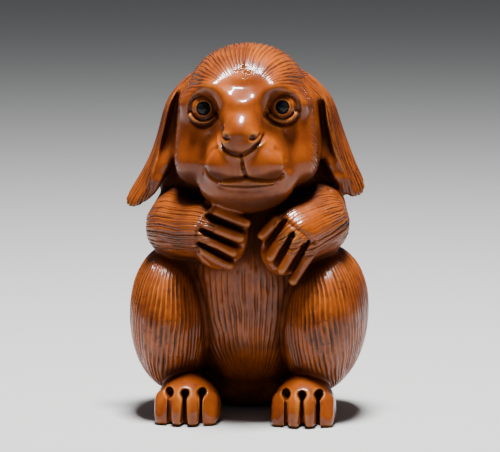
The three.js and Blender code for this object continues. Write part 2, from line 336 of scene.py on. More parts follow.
def ease_facets(surface, form):
    """Smooths the facets away, less so close to a crease and where the solid is finely cut."""
    points = [Vector(p) for p in surface.points]
    _, gap = nearest(crease_points(form), points)
    spread = np.minimum(0.55 * facet_size(form, points), 0.1 + 0.34 * gap)
    spread = np.maximum(spread, melt_of_face(surface.points))
    spread = surface.smoothed(np.clip(spread, MELT_LEAST, MELT_MOST), 12)
    rounds = 4 * (spread / ROUGH_VOXEL) ** 2
    for i in range(int(rounds.max()) + 1):
        going = np.clip(rounds - i, 0, 1)[:, None]
        surface.points += 0.5 * going * (surface.neighbour_mean(surface.points) - surface.points)


# ---- Large carving: cheeks, brows and the hollow behind each cheek --------------------------------------------------

# The hollow between cheek and ear runs down each side: height, the cheek's edge and the ear's pale rim.
EAR_HOLLOWS = {
    "right": {"z": (31.5, 34, 38.5, 42, 43.6), "cheek": (9.3, 9.2, 8.9, 8.7, 8.6), "rim": (12.6, 12, 10.9, 9.9, 9.3)},
    "left": {"z": (32, 33, 36, 39.5, 42.6), "cheek": (10.4, 10.2, 9.9, 9.7, 9.7), "rim": (13.8, 13.2, 11.8, 11, 10.6)},
}
HOLLOW_DEPTH = 0.3
HOLLOW_DEEPENS = 1.6  # how much deeper the hollow is at its upper end
EAR_WOOD = 0.7  # left at the back of the hollow
RIM_RAISED = 0.3
CHEEK_OUT = 0.8

# Brows, cheeks and nose: places are from between the eyes, across and up, and alike on both sides.
BROW_AT = (4.3, 2.7)
BROW_OUT = {"right": 1, "left": 1.2}
BROW_LINE = ((2.4, 2.2), (3.3, 2.8), (5, 2.9), (6.9, 1.9), (7.9, 0.3))
NOSE_FOLD = ((2.4, 0.4), (2.6, -0.8), (2.9, -2.4))
MIDDLE_MOUNDS = (  # place, half widths and height
    ((0, -2), (2.3, 1.4), 1.1),  # the bulb of the nose
    ((0, 1), (1.9, 0.9), 0.5),  # the start of its bridge
    ((0, 2.5), (2.8, 1.1), -0.5),  # the dip between the brows
)


def side_hollow(points, side):
    """How far inside the hollow between cheek and ear each point lies, seen from the front."""
    lines = EAR_HOLLOWS[side]
    x, z = SIDES[side] * points[:, 0], points[:, 2]
    cheek = np.interp(z, lines["z"], lines["cheek"])
    rim = np.interp(z, lines["z"], lines["rim"])
    ends = np.minimum(z - lines["z"][0], lines["z"][-1] - z)
    return np.minimum(np.minimum(x - cheek, rim - x), 0.6 * ends), x - rim


def widen_cheeks(surface):
    """Draws the temples and cheeks outwards, so that the face is as wide as it is long."""
    x, y, z = (surface.points - SKULL).T
    temple = smoothstep(5.4, 8, np.abs(x)) * smoothstep(0.5, -1.5, y) * smoothstep(-10, -7, z) * smoothstep(6, 3, z)
    surface.points[:, 0] += CHEEK_OUT * temple * np.sign(x) * smoothstep(-9, -6, y)


def wood_behind(surface, chosen):
    """How much wood lies behind some points, looked at from the front."""
    surface.settle()
    tree = BVHTree.FromPolygons([v.co for v in surface.mesh.vertices], [p.vertices for p in surface.mesh.polygons])
    back = Vector((0, 1, 0))
    hits = [tree.ray_cast(Vector(p) + back * 0.05, back)[3] for p in surface.points[chosen]]
    return np.array([9 if hit is None else hit for hit in hits])


def cut_side_hollows(surface):
    """Cuts the hollow between cheek and ear, but never through, and raises the ear's rim."""
    nearby = smoothstep(-7.5, -6.5, surface.points[:, 1]) * smoothstep(3.5, 2.5, surface.points[:, 1])
    nearby *= surface.normals()[:, 1] < 0.35
    for side in SIDES:
        inside, past_rim = side_hollow(surface.points, side)
        z = surface.points[:, 2]
        depth = (HOLLOW_DEPTH + HOLLOW_DEEPENS * smoothstep(33.5, 38, z)) * nearby * smoothstep(-0.1, 0.6, inside)
        cut = np.flatnonzero(depth > 0.05)
        room = np.clip(wood_behind(surface, cut) - EAR_WOOD, 0, None)
        surface.points[cut, 1] += np.minimum(depth[cut], room)
        rim = bump(past_rim - 0.3, 0.45) * smoothstep(30, 32, z) * smoothstep(44, 42, z)
        surface.points[:, 1] -= RIM_RAISED * nearby * rim


def on_face(surface, deepest):
    """The points of the face as seen from the front, from between the eyes, and how squarely they face forward."""
    across = surface.points[:, [0, 2]] - FACE[[0, 2]]
    facing = smoothstep(0.05, 0.4, -surface.normals()[:, 1])
    facing *= surface.points[:, 1] < FACE[1] + deepest
    return across, facing * (across[:, 1] > -12.4)


def shape_brows(surface):
    """Swells the brows, the nose and the cheeks. Each brow reaches down to the eye and in to the nose."""
    across, facing = on_face(surface, 6)
    x, z = np.abs(across[:, 0]), across[:, 1]
    wide = np.where(x < BROW_AT[0], 1.9 + 1.4 * smoothstep(3.2, 2, z), 2.2)
    tall = np.where(z < BROW_AT[1], 3.8, 1.5)
    brow = np.where(across[:, 0] < 0, BROW_OUT["right"], BROW_OUT["left"]) * mound(x, z, BROW_AT, (wide, tall))
    nose = sum(height * mound(x, z, at, radii) for at, radii, height in MIDDLE_MOUNDS)
    folded = np.stack((x, z), 1)
    ridge = bump(line_distance(folded, BROW_LINE), 0.8)
    valley = bump(line_distance(folded, NOSE_FOLD), 0.6)
    cheek = bump(np.hypot(x - 6.8, z + 7.9), 1.9) - 0.6 * bump(np.hypot(x - 5.9, (z + 4.4) / 1.6), 1.2)
    surface.push(facing * (0.25 * ridge + 0.4 * cheek - 0.1 * valley))
    surface.points[:, 1] -= facing * (brow + nose)


# ---- Eyes ----------------------------------------------------------------------------------------------------------

BEAD_OUT = 1.0  # how far each bead stands in front of the solid's
BEAD_RADIUS = 0.85
BEAD_HALF_DEPTH = 0.72
BEAD_PROUD = 0.2  # how far it stands out from the eyeball
SEAT_RADIUS = 0.95
SEAT_DEPTH = 0.75
RING_RADIUS = 1.22  # the fine cut round the bead
EYEBALL = 1.8
SOCKET_LEAST, SOCKET_MOST = 0.5, 2.4  # how deep the cut round the eyeball is
SOCKET_BEHIND = 1.1  # how far behind the eyeball's front its floor lies, within those depths
LID_BEHIND = 0.3  # how far behind the eyeball's front the lower lid lies
# Round each eye, from the bead: the edge of the socket, and the crest of the lower lid.
SOCKET_EDGE = ((-2.35, -0.9), (-1.7, 0.6), (-0.6, 1.7), (0.7, 2.05), (1.9, 1.5), (2.5, 0.3), (2.5, -0.9),
               (2.05, -1.9), (1.2, -2.6), (0.1, -2.8), (-1.1, -2.35), (-1.9, -1.6))
SOCKET_WIDTH = {"right": 0.9, "left": 1}
LOWER_LID = ((-1.6, -1.05), (-1.2, -1.45), (-0.7, -1.7), (0.15, -1.85), (1.0, -1.7), (1.5, -1.35), (1.8, -0.95))


def inside_outline(points, outline):
    """Whether each point lies inside a closed outline."""
    inside = np.zeros(len(points), dtype=bool)
    for (ax, ay), (bx, by) in zip(outline, outline[1:]):
        crosses = (ay > points[:, 1]) != (by > points[:, 1])
        where = ax + (points[:, 1] - ay) * (bx - ax) / ((by - ay) or 1e-9)
        inside ^= crosses & (points[:, 0] < where)
    return inside


def carve_eyes(surface):
    """Cuts each socket round a raised eyeball, with a lower lid and a seat for the bead."""
    _, facing = on_face(surface, 5)
    for side, eye in EYES.items():
        flat = (surface.points[:, [0, 2]] - eye[[0, 2]]) * (SIDES[side], 1)
        near = np.flatnonzero((np.linalg.norm(flat, axis=1) < 4.2) & (facing > 0))
        flat = flat[near]
        far = np.linalg.norm(flat, axis=1)
        outline = smooth_line(SOCKET_EDGE, closed=True) * (SOCKET_WIDTH[side], 1)
        edge = line_distance(flat, outline) * np.where(inside_outline(flat, outline), 1, -1)
        skin = surface.points[near, 1]
        top = front(f"{side}_eye_bead") - BEAD_OUT + BEAD_PROUD
        deep = np.clip(top + SOCKET_BEHIND - skin, SOCKET_LEAST, SOCKET_MOST)
        socket = skin + deep * smoothstep(-0.1, 0.5, edge)
        lid = smoothstep(0.4, 0.14, line_distance(flat, smooth_line(LOWER_LID)))
        socket += (np.minimum(socket, top + LID_BEHIND) - socket) * lid
        ball = top + EYEBALL - np.sqrt(np.clip(EYEBALL**2 - far**2, 0, None))
        ball[far > 0.98 * EYEBALL] += 9  # past its edge the ball is left out
        ball += 0.2 * bump(far - RING_RADIUS, 0.1) + SEAT_DEPTH * smoothstep(SEAT_RADIUS, 0.82, far)
        surface.points[near, 1] += facing[near] * (np.minimum(socket, ball) - skin)


def eye_bead(side):
    """A glassy black bead, in place of the solid's short plug."""
    low, high = (np.array(corner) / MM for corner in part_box(f"{side}_eye_bead"))
    at = ((low[0] + high[0]) / 2, low[1] - BEAD_OUT + BEAD_HALF_DEPTH, (low[2] + high[2]) / 2)
    form = bmesh.new()
    place = Matrix.Translation(at) @ Matrix.Diagonal((BEAD_RADIUS, BEAD_HALF_DEPTH, BEAD_RADIUS, 1))
    bmesh.ops.create_icosphere(form, subdivisions=5, radius=1, matrix=place)
    return finished(f"{side}_bead", form)


# ---- Nose, lips and mouth: places across the face are from between the eyes ----------------------------------------

NOSE_EDGE = ((-2.3, -2.6), (-2.5, -3.5), (-2.4, -4.3), (-2, -5), (-1.2, -5.5), (-0.2, -5.75), (0.5, -5.65),
             (1.2, -5.25), (1.9, -4.7), (2.6, -4.1), (3, -3.4))
NOSE_MIDDLE = -3.6
NOSTRILS = ((-1.42, -3.5), (1.5, -3.5))
WINGS = (((-1.7, -3.5), (-2.3, -3.2)), ((1.8, -3.5), (2.4, -3.2)))
LIP_PARTING = ((0.25, -5.7), (0.4, -6.8), (0.8, -8.7))
MOUTH = ((-4.7, -7.8), (-4.35, -8.7), (-3.3, -9.35), (-1.5, -9.15), (0.3, -8.85), (0.85, -8.75), (1.6, -8.95),
         (2.9, -9.15), (4.9, -9.2), (5.6, -8.7))
LIP_EDGES = (
    ((-2.9, -4.9), (-4, -5.4), (-4.65, -6.5), (-4.75, -7.6)),
    ((4.6, -5), (5.6, -5.7), (5.9, -6.6)),
)
CHEEK_FOLDS = (((-4.6, -3.6), (-5.2, -4.6), (-5.4, -6.6)), ((5.6, -3.2), (6.2, -4.4), (6.5, -5.8), (6.4, -7.8)))
UNDER_MOUTH = ((-2.6, -9.6), (0.8, -9.7), (4.2, -9.6))
LOWER_LIP = ((-3.2, -9.6), (-1.6, -10.1), (0.8, -10.25), (3.2, -10.1), (5, -9.65))
MUZZLE_MOUNDS = (  # place, half widths and height
    ((0, -5.1), (2, 1.1), 0.35),
    ((0.5, -7.3), (0.9, 2), 0.32),  # fills the lips out to their parting
    ((-2.2, -7.2), (2.2, 1.6), -0.22),  # and flattens their fronts
    ((3.3, -7.2), (2.2, 1.6), -0.22),
)


def carve_muzzle(surface):
    """Cuts the nose, the lips and the mouth, and fills the forms between their lines."""
    across, facing = on_face(surface, 4)
    near = np.flatnonzero((np.abs(across[:, 0]) < 8) & (facing > 0))
    flat = across[near]
    x, z = flat.T

    def cut(line, depth, width):
        """How far a cut along a line lowers each point."""
        return -depth * bump(line_distance(flat, smooth_line(line)), width)

    height = sum(tall * mound(x, z, at, radii) for at, radii, tall in MUZZLE_MOUNDS)
    height += 0.25 * mound(np.abs(x - 0.05), z, (1.9, -3.5), (0.9, 1))  # the wings of the nose
    height += 0.2 * mound(np.abs(x + 0.1), z, (1.3, -4.7), (1, 1))  # and its lower corners
    round_nose = [(1.2 * a - 0.02, 1.2 * (b - NOSE_MIDDLE) + NOSE_MIDDLE) for a, b in NOSE_EDGE[1:-1]]
    height += cut(NOSE_EDGE, 0.36, 0.25) - cut(round_nose, 0.16, 0.28)
    for place in NOSTRILS:
        away = np.linalg.norm(flat - place, axis=1)
        height += 0.4 * bump(away, 1) - 0.4 * smoothstep(0.55, 0.2, away)
    height += sum(cut(wing, 0.22, 0.2) for wing in WINGS)
    height += cut(LIP_PARTING, 0.5, 0.16 + 0.02 * np.clip(-z - 5, 0, 4)) + cut(MOUTH, 0.5, 0.19)
    height += sum(cut(line, 0.2, 0.2) for line in LIP_EDGES) + sum(cut(line, 0.22, 0.5) for line in CHEEK_FOLDS)
    height += cut(LOWER_LIP, 0.16, 0.18) - cut(UNDER_MOUTH, 0.2, 0.4)
    whole = np.zeros(len(across))
    whole[near] = height * facing[near]
    surface.push(whole)


# ---- Paws ----------------------------------------------------------------------------------------------------------

# Each finger from knuckle to tip, from the stand.
FINGERS = {
    "right": (((-3.7, -10.1, 28.3), (0.4, -10.5, 26.8)), ((-4.6, -10.6, 26.5), (-0.4, -11.1, 24.9)),
              ((-5.3, -10.5, 24.7), (-1.4, -11.1, 22.9)), ((-5.4, -9.9, 22.8), (-1.9, -10.4, 21.1))),
    "left": (((4.6, -9.9, 27.2), (2.5, -10.3, 25.2)), ((5.7, -10.5, 26), (3.7, -11.2, 22.4)),
             ((7.5, -10.5, 24.8), (5.2, -11.2, 20.7)), ((9, -9.7, 23.2), (6.7, -10.5, 19.2))),
}
KNUCKLE_LINES = {
    "right": ((-3.7, 28.9), (-5.3, 27), (-6.2, 25.1), (-5.9, 22.9), (-4.4, 21.2)),
    "left": ((4.2, 28.2), (6, 27), (7.9, 25.7), (9.6, 24.2)),
}
KNUCKLE_DEPTH = 0.25
CUT_BEHIND = 0.5  # how far behind the fingers' middle lines the cuts between them reach
CUT_DEEPEST = 1.6
TOES = 4
TOE_TOP = 4.3  # the height of the holes drilled between the toes
TOE_PITCH = 2.13
TOE_HOLE = 0.72
TOE_HOLE_DEPTH = 0.5
TOE_CUT_FILL = 0.75  # how far the floor of each cut comes forward
TOE_DRAW = 0.08  # how far each side of a cut is drawn to the other


def carve_fingers(surface):
    """Deepens the cuts between fingers and marks off the knuckles."""
    facing = smoothstep(-0.2, 0.3, -surface.normals()[:, 1]) * (surface.points[:, 1] < STAND[1] - 8.2)
    facing *= surface.points[:, 2] < 29.6
    flat = surface.points[:, [0, 2]] - STAND[[0, 2]]
    for side, fingers in FINGERS.items():
        for first, second in zip(fingers, fingers[1:]):
            knuckle, tip = (np.array(first) + second) / 2
            off, share = segment_distance(flat, knuckle[[0, 2]], tip[[0, 2]])
            bottom = STAND[1] + knuckle[1] + share * (tip[1] - knuckle[1]) + CUT_BEHIND
            deeper = np.clip(bottom - surface.points[:, 1], 0, CUT_DEEPEST)
            surface.points[:, 1] += deeper * facing * smoothstep(0.42, 0.22, off)
        mark = bump(line_distance(flat, smooth_line(KNUCKLE_LINES[side])), 0.27)
        surface.points[:, 1] += KNUCKLE_DEPTH * mark * facing


def shape_toes(surface):
    """Draws the toes together below their drilled holes, and makes the cuts between them shallow."""
    x, y, z = (surface.points - STAND).T
    for foot in FEET.values():
        middle_x, middle_y, _ = foot["at"]
        on_foot = (np.abs(x - middle_x) < 5) & (y < middle_y - 1) & (z < 6)
        below = smoothstep(TOE_TOP - 0.2, TOE_TOP - 0.9, z) * on_foot
        for i in range(1, TOES):
            off = x - middle_x - (i - TOES / 2) * TOE_PITCH
            surface.points[:, 0] -= TOE_DRAW * below * np.sign(off) * bump(np.abs(off) - 0.35, 0.3)
            inner = smoothstep(0.5, 0.3, np.abs(off)) * smoothstep(-13.4, -12.9, y) * (y < -11.5)
            surface.points[:, 1] -= TOE_CUT_FILL * below * inner
            hole = smoothstep(TOE_HOLE, 0.5, np.hypot(off, z - TOE_TOP)) * on_foot * (surface.normals()[:, 1] < 0.3)
            surface.points[:, 1] += TOE_HOLE_DEPTH * hole


# ---- Fur: each form has its own run of hair, told as a strand number and a way along it -----------------------------

# Each run of hair gives, for each point, its strand number, its way along the strand, and the room for a strand.


def meridians(points, at, radii, pole, pitch):
    """Strands that run from pole to pole over an egg-shaped form. The last strand meets the first behind it."""
    radii = np.array(radii)
    pole = np.array(pole) / np.linalg.norm(pole)
    out = (points - STAND - at) / radii
    axis = pole / radii
    axis /= np.linalg.norm(axis)
    ahead = np.array((0, -1, 0)) - axis * -axis[1]
    ahead /= np.linalg.norm(ahead)
    aside = np.cross(axis, ahead)
    angles = np.linspace(-math.pi, math.pi, 181)
    step = np.hypot(np.linalg.norm(ahead * radii) * np.sin(angles), np.linalg.norm(aside * radii) * np.cos(angles))
    girth = np.cumsum(step) * (angles[1] - angles[0])
    strand = np.interp(np.arctan2(out @ aside, out @ ahead), angles, girth) / pitch
    room = pitch * np.hypot(out @ aside, out @ ahead) / np.linalg.norm(out, axis=1)
    return strand, (points - STAND - at) @ pole, room


def sleeve(points, elbow, lie, pitch):
    """Strands that run along a forearm and back round its elbow."""
    axis = np.array(lie) / np.linalg.norm(lie)
    out = points - STAND - elbow
    up = np.array((0, 0, 1)) - axis * axis[2]
    up /= np.linalg.norm(up)
    angle = np.arctan2(out @ np.cross(axis, up), out @ up)
    return ARM_ROUND * angle / pitch, out @ axis, pitch


def ear_frame(points, side):
    """A point's place on an ear: across its width, through its thickness and down its length."""
    spine = np.array(EAR_SPINE)
    spine[:, 0] *= SIDES[side]
    local = points - SKULL
    heights = spine[::-1, 2]
    centre = np.stack([np.interp(local[:, 2], heights, spine[::-1, i]) for i in (0, 1)], 1)
    x, y = (local[:, :2] - centre).T
    x *= SIDES[side]
    across = x * math.sin(EAR_TURN) + y * math.cos(EAR_TURN)
    through = x * math.cos(EAR_TURN) - y * math.sin(EAR_TURN)
    return across, through, -local[:, 2]


def fur_of_head(points):
    """How furred the head is: fully over the crown, the nape and the sides, and not at all on the face."""
    x, y, z = (points - SKULL).T
    hairline = z - HAIRLINE + 0.045 * x * x
    furred = smoothstep(-0.9, 0.7, np.maximum(hairline, np.maximum(y + 1.5, 0.9 * (np.abs(x) - 9.4))))
    return furred * smoothstep(-9.5, -8, z)


def fur_regions(points):
    """Each region's distance, then its strand number, way along, room, share of split strands, and fur."""
    regions = []
    every = np.ones(len(points))

    def add(distance, strand, along, room, fine, fur):
        """Adds a region. Where its strands are wide, a fine one's are each split in two."""
        room = room * every
        regions.append((distance, strand, along, room, fine * smoothstep(0.45, 0.75, room), fur * every))

    on_trunk = meridians(points, **TRUNK)
    add(egg_distance(points, TRUNK["at"], TRUNK["radii"]), *on_trunk, 0, 1)
    for leg in HAUNCHES.values():
        add(egg_distance(points, leg["at"], leg["radii"]), *meridians(points, **leg), 0, 1)
    for side, arm in ARMS.items():
        joints = [STAND + joint for joint in np.array(arm["joints"])]
        fur = every
        if side == "left":  # a bare patch, worn smooth
            x, y, z = (points - joints[1]).T
            fur = 1 - 0.9 * mound(x, z, (-0.6, 0.9), (2.6, 2.6)) * (y < 3)
        run = sleeve(points, arm["joints"][1], arm["lie"], ARM_STRAND)
        add(line_distance(points, joints) - arm["radius"], *run, 1, fur)
    for bare, proud in ((PALMS, PALM_PROUD), (FEET, FOOT_PROUD)):
        for form in bare.values():
            add(egg_distance(points, form["at"], form["radii"]) - proud, *on_trunk, 0, 0)
    tail = [STAND + joint for joint in np.array(TAIL)]
    round_tail = points[:, 2] / 0.6 - points[:, 1] / 0.8
    add(line_distance(points, tail) - TAIL_RADIUS, round_tail, points[:, 0], 0.7, 0, 1)
    whorl = meridians(points, SKULL - STAND, SKULL_RADII, WHORL, BODY_STRAND)
    add(egg_distance(points, SKULL - STAND, SKULL_RADII) - HEAD_PROUD, *whorl, 1, fur_of_head(points))
    for side in SIDES:
        across, through, down = ear_frame(points, side)
        reach = np.maximum(np.abs(across) - EAR_HALF_WIDTH, np.abs(through) - EAR_HALF_THICK)
        reach += 8 * smoothstep(-6, -8, down)  # above its root the ear is part of the head
        outer = smoothstep(-0.6, 0.3, through + 0.045 * across**2)
        inside, _ = side_hollow(points, side)
        add(reach, across / BODY_STRAND, down, BODY_STRAND, 1, outer * smoothstep(0.1, -0.4, inside))
    return regions


WANDER = 0.6  # how far a strand strays, in strands
LINE_STEP = 7.31  # how far apart two strands' noise lies, so that no two fade alike


def comb(surface):
    """What the closest region gives for each point, with strands that wander a little and fur that fades softly."""
    regions = fur_regions(surface.points)
    closest = np.argmin([region[0] for region in regions], axis=0)
    strand, along, room, split, fur = (np.choose(closest, [region[i] for region in regions]) for i in range(1, 6))
    wander = value_noise(surface.points / 2.8) - 0.5 + 0.3 * (value_noise(surface.points / 1.1, 1) - 0.5)
    return strand + WANDER * wander, along, room, split, surface.smoothed(fur, 14)


def fur_grooves(strand, along):
    """The depth of the cut between strands, from 0 to 1. Each cut fades in and out along its way."""
    line = np.round(strand)
    place = np.stack((line * LINE_STEP, along / 5, np.zeros(len(line))), 1)
    strength = 0.25 + 0.75 * smoothstep(0.25, 0.6, value_noise(place, 3))
    return strength * (1 - smoothstep(0.05, 0.42, np.abs(strand - line)))


# ---- Stain, wear and painted shade: dark in the recesses and undersides, pale on the edges --------------------------

CELL = 0.3
# How far round a point its recesses are looked for, and how far out from the surface that is done.
CLOSE_SPREAD, CLOSE_OUT = 0.5, 0.5
BROAD_SPREAD, BROAD_OUT = 1.5, 1.6


def filled_cells(mesh, low, shape):
    """Which cells of an even grid lie inside the wood."""
    tree = BVHTree.FromPolygons([v.co for v in mesh.vertices], [p.vertices for p in mesh.polygons])
    cells = np.zeros(shape, dtype=np.float32)
    up = Vector((0, 0, 1))
    for i in range(shape[0]):
        for j in range(shape[1]):
            spot = Vector((low[0] + (i + 0.5) * CELL, low[1] + (j + 0.5) * CELL, low[2]))
            crossings = []
            hit = tree.ray_cast(spot, up)
            while hit[0] is not None:
                crossings.append((hit[0].z - low[2]) / CELL - 0.5)
                hit = tree.ray_cast(hit[0] + up * 1e-3, up)
            for enter, leave in zip(crossings[::2], crossings[1::2]):
                cells[i, j, max(0, math.ceil(enter)):max(0, math.floor(leave) + 1)] = 1
    return cells


def blurred(cells, spread):
    """Softens a grid by three even averages along each way."""
    half = max(1, round(spread / CELL))
    for axis in range(3):
        for _ in range(3):
            padded = np.pad(cells, [(half + 1, half) if k == axis else (0, 0) for k in range(3)])
            sums = np.cumsum(padded, axis=axis, dtype=np.float64)
            upper = np.take(sums, range(2 * half + 1, sums.shape[axis]), axis=axis)
            lower = np.take(sums, range(0, sums.shape[axis] - 2 * half - 1), axis=axis)
            cells = (upper - lower) / (2 * half + 1)
    return cells


def sampled(cells, low, points):
    """A grid's values at some points, evened out between its cells."""
    place = np.clip((points - low) / CELL - 0.5, 0, np.array(cells.shape) - 1.001)
    cell = place.astype(int)
    part = place - cell
    total = np.zeros(len(points))
    for corner in itertools.product((0, 1), repeat=3):
        weight = np.prod(np.where(corner, part, 1 - part), axis=1)
        total += weight * cells[tuple((cell + corner).T)]
    return total


def recesses(surface, rough_mesh):
    """How shut in each point is, close by and from further off, both from 0 to 1; they darken the wood as stain and
    painted shade.
    """
    low = surface.points.min(axis=0) - 4
    shape = tuple(np.ceil((surface.points.max(axis=0) + 4 - low) / CELL).astype(int))
    cells = filled_cells(rough_mesh, low, shape)
    normals = surface.normals()
    close = sampled(blurred(cells, CLOSE_SPREAD), low, surface.points + CLOSE_OUT * normals)
    broad_shade = sampled(blurred(cells, BROAD_SPREAD), low, surface.points + BROAD_OUT * normals)
    # Undersides are darkened as painted shade too, most of all from the chin up.
    under = smoothstep(0.12, 0.65, -normals[:, 2]) * (0.45 + 0.5 * smoothstep(25, 28, surface.points[:, 2]))
    socket = sum(bump(np.linalg.norm(surface.points - eye, axis=1), 2.6) for eye in EYES.values())
    # Close by: darker in tight cuts and creases, partly the stain that gathers there and partly painted shade.
    close = smoothstep(0.22, 0.6, close) * (1 - 0.5 * socket)
    # From further off: painted shade in wide recesses, in the gaps between parts and under overhangs.
    broad_shade = np.maximum(smoothstep(0.13, 0.48, broad_shade), under) * (1 - 0.6 * socket)
    return close, broad_shade


def edge_wear(surface):
    """How much each point stands out from what is round it: above 0 on edges, below 0 in cuts."""
    soft = surface.smoothed(surface.points, 16)
    return np.sum((surface.points - soft) * surface.normals(), axis=1)


# ---- Finishing pieces ----------------------------------------------------------------------------------------------


def thinned(mesh, triangles):
    """The same form in fewer faces, which stay small where the carving is fine."""
    block = bpy.data.objects.new("block", mesh)
    bpy.context.scene.collection.objects.link(block)
    collapse = block.modifiers.new("thin", "DECIMATE")
    collapse.ratio = min(1, triangles / (2 * len(mesh.polygons)))
    result = bpy.data.meshes.new_from_object(block.evaluated_get(bpy.context.evaluated_depsgraph_get()))
    bpy.data.objects.remove(block)
    return result


def finished(name, form):
    """A piece in metres, from a form in figure millimetres."""
    if isinstance(form, bmesh.types.BMesh):
        bmesh.ops.recalc_face_normals(form, faces=form.faces)
        mesh = bpy.data.meshes.new(name)
        form.to_mesh(mesh)
        form.free()
    else:
        mesh = form
    mesh.transform(Matrix.Scale(MM, 4))
    mesh.shade_smooth()
    piece = bpy.data.objects.new(name, mesh)
    bpy.context.scene.collection.objects.link(piece)
    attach(piece, "root")
    return piece


STRAND_DEPTH = 0.17
HAIR_LUMPS = 0.05
KNIFE_FLATS = 0.2


def carved_puppy():
    """The whole figure, carved from a copy of the solid: first its large forms, then the fine ones, then the fur."""
    form = solid_copy("figure")
    solid = form.copy()
    add_eye_mounds(form)
    add_nape_fill(form)
    mesh = bpy.data.meshes.new("block")
    form.to_mesh(mesh)
    rough = Surface(remeshed(mesh, ROUGH_VOXEL))
    ease_facets(rough, solid)
    widen_cheeks(rough)
    cut_side_hollows(rough)
    shape_brows(rough)
    rough.points = rough.smoothed(rough.points, 3)
    rough.settle()

    fine = Surface(remeshed(rough.mesh, FINE_VOXEL))
    fine.points = fine.smoothed(fine.points, 2)
    carve_eyes(fine)
    carve_muzzle(fine)
    carve_fingers(fine)
    shape_toes(fine)
    fine.points = fine.smoothed(fine.points, 1)
    # Darkness of the recesses, for stain and painted shade.
    close, broad_shade = recesses(fine, rough.mesh)
    strand, along, room, split, fur = comb(fine)
    fur *= 1 - 0.8 * close
    height = -STRAND_DEPTH * fur * fur_grooves(strand, along) * smoothstep(0.35, 0.6, room)
    lumpy = HAIR_LUMPS * fur * (1 - split) * smoothstep(0.5, 0.7, room)
    height += lumpy * (value_noise(fine.points / 0.8, 2) - 0.5)
    height += KNIFE_FLATS * (1 - fur) * (value_noise(fine.points / 2.6, 4) - 0.5)
    fine.push(height)
    fine.points[:, 2] = np.maximum(fine.points[:, 2], BASE[2])  # the soles stay on the table
    relief = edge_wear(fine)
    fine.settle()

    mesh = thinned(fine.mesh, PIECE_TRIANGLES)
    match, _ = nearest([Vector(p) for p in fine.points], [v.co for v in mesh.vertices])
    # The recess values carry stain and painted shade to the material.
    for name, values in (("fur", fur), ("close", close), ("broad_shade", broad_shade), ("relief", relief)):
        mesh.attributes.new(name, "FLOAT", "POINT").data.foreach_set("value", values[match].astype(np.float32))
    hair = np.stack((strand, along, split), 1)[match]
    mesh.attributes.new("hair", "FLOAT_VECTOR", "POINT").data.foreach_set("vector", hair.astype(np.float32).ravel())
    return finished("carved_puppy", mesh)


# ---- Materials -----------------------------------------------------------------------------------------------------


class Nodes:
    """Short ways to add and join a material's nodes."""

    def __init__(self, name):
        self.material = bpy.data.materials.new(name)
        self.material.use_nodes = True
        self.tree = self.material.node_tree
        self.shader = self.tree.nodes["Principled BSDF"]

    def feed(self, socket, value):
        """Joins a node's output to a socket, or sets the socket to a plain value."""
        if isinstance(value, bpy.types.NodeSocket):
            self.tree.links.new(value, socket)
        else:
            socket.default_value = value

    def add(self, kind, inputs=(), output=0, **settings):
        node = self.tree.nodes.new(kind)
        for key, value in settings.items():
            setattr(node, key, value)
        for key, value in dict(inputs).items():
            self.feed(node.inputs[key], value)
        return node.outputs[output]

    def math(self, operation, first, second=0.0):
        return self.add("ShaderNodeMath", {0: first, 1: second}, operation=operation)

    def ramp(self, value, low, high, to_low=0.0, to_high=1.0):
        inputs = {"Value": value, "From Min": low, "From Max": high, "To Min": to_low, "To Max": to_high}
        return self.add("ShaderNodeMapRange", inputs, interpolation_type="SMOOTHSTEP")

    def mix(self, share, first, second):
        node = self.tree.nodes.new("ShaderNodeMix")
        node.data_type = "RGBA"
        self.feed(node.inputs[0], share)
        self.feed(node.inputs[6], first)
        self.feed(node.inputs[7], second)
        return node.outputs[2]

    def noise(self, place, size, detail=2.0, rough=0.5):
        inputs = {"Vector": place, "Scale": size, "Detail": detail, "Roughness": rough}
        return self.add("ShaderNodeTexNoise", inputs)

    def told(self, name, output="Fac"):
        """What the mesh itself says at each point, under a name."""
        return self.add("ShaderNodeAttribute", attribute_name=name, output=output)

    def vector(self, x, y, z):
        return self.add("ShaderNodeCombineXYZ", {0: x, 1: y, 2: z})

    def scaled(self, place, scale):
        return self.add("ShaderNodeMapping", {"Vector": place, "Scale": scale})


AMBER_WOOD = (0.3, 0.06, 0.004, 1)
RUSSET_WOOD = (0.15, 0.027, 0.003, 1)
DARK_GRAIN = (0.11, 0.021, 0.004, 1)
WORN_WOOD = (0.44, 0.15, 0.024, 1)
# The dark of the stain in the cuts, used also for the painted shade in recesses and undersides.
STAIN_AND_SHADE = (0.02, 0.005, 0.002, 1)


def cut_strands(n, strand, along):
    """The fine cuts between strands, from 0 to 1."""
    line = n.math("ROUND", strand)
    off_line = n.math("ABSOLUTE", n.math("SUBTRACT", strand, line))
    fade = n.noise(n.vector(n.math("MULTIPLY", line, LINE_STEP), n.math("MULTIPLY", along, 0.3), 0.0), 1.0, 1.0)
    return n.math("MULTIPLY", n.ramp(off_line, 0.06, 0.4, 1.0, 0.0), n.ramp(fade, 0.35, 0.6, 0.15, 1.0))


